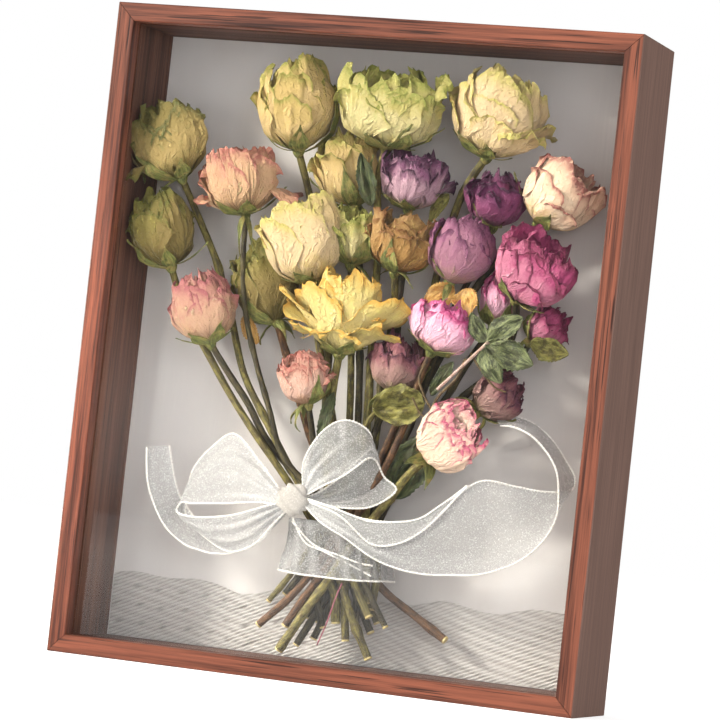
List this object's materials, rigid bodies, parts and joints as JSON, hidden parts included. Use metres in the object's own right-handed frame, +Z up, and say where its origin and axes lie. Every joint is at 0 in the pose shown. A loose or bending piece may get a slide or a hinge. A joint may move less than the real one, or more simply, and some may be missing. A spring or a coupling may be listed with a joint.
{
  "type": "shadow box frame with dried rose bouquet",
  "caption": "Deep wooden box frame with a glass front, holding a bouquet of dried roses tied with a sheer bow before a satin backdrop.",
  "frame": {"origin": "middle of the underside of the frame, where it stands", "axes": "+Z up along the height, X across the width, -Y out through the glass, +Y out of the back board"},
  "size_m": [0.268, 0.056, 0.32],
  "materials": {
    "frame_wood": "red-brown stained wood, fine open grain, satin sheen",
    "spacer_wood": "dark brown stained wood, matte",
    "glass": "clear flat glass",
    "satin": "off-white satin with soft folds",
    "lace_knit": "off-white open-work knit",
    "board": "brown hardboard, matte",
    "tab_metal": "plain steel",
    "rose_olive": "dry matte petals, olive green with cream",
    "rose_cream": "dry matte petals, cream with yellow-green veins",
    "rose_peach": "dry matte petals, cream with peach and pink rims",
    "rose_pink": "dry matte petals, dusty pink over cream",
    "rose_magenta": "dry matte petals, magenta pink with crimson rims",
    "rose_purple": "dry matte petals, dark purple over cream",
    "rose_yellow": "dry matte petals, bright yellow",
    "rose_gold": "dry matte petals, golden tan",
    "dry_leaf": "dry leaf, dull green to brown",
    "sheer_ribbon": "sheer white organza with corded edges"
  },
  "bodies": {
    "root": {"frame_top": "frame_wood", "frame_bottom": "frame_wood", "frame_left": "frame_wood", "frame_right": "frame_wood", "spacer_top": "spacer_wood", "spacer_bottom": "spacer_wood", "spacer_left": "spacer_wood", "spacer_right": "spacer_wood", "glass_pane": "glass", "satin_backdrop": "satin", "lace_cloth": "lace_knit", "back_board": "board", "back_tab_1": "tab_metal", "back_tab_2": "tab_metal", "back_tab_3": "tab_metal", "back_tab_4": "tab_metal", "back_tab_5": "tab_metal", "back_tab_6": "tab_metal", "rose_01": "rose_olive", "rose_02": "rose_olive", "rose_03": "rose_peach", "rose_04": "rose_cream", "rose_05": "rose_olive", "rose_06": "rose_cream", "rose_07": "rose_cream", "rose_08": "rose_purple", "rose_09": "rose_purple", "rose_10": "rose_peach", "rose_11": "rose_cream", "rose_12": "rose_olive", "rose_13": "rose_gold", "rose_14": "rose_pink", "rose_15": "rose_olive", "rose_16": "rose_pink", "rose_17": "rose_yellow", "rose_18": "rose_peach", "rose_19": "rose_pink", "rose_20": "rose_magenta", "rose_21": "rose_pink", "rose_22": "rose_magenta", "rose_23": "rose_purple", "rose_24": "rose_peach", "rose_25": "rose_purple", "leaf_round_olive": "dry_leaf", "leaf_folded_dark": "dry_leaf", "leaf_olive_right": "dry_leaf", "leaf_centre_top": "dry_leaf", "leaf_top_right": "dry_leaf", "leaf_dry_centre": "dry_leaf", "leaf_curled_bract": "dry_leaf", "leaf_sprig_right": "dry_leaf", "ribbon_knot": "sheer_ribbon", "bow_loop_left": "sheer_ribbon", "bow_loop_right": "sheer_ribbon", "ribbon_tail_left": "sheer_ribbon", "ribbon_tail_right": "sheer_ribbon", "ribbon_wrap": "sheer_ribbon"}
  },
  "joints": []
}
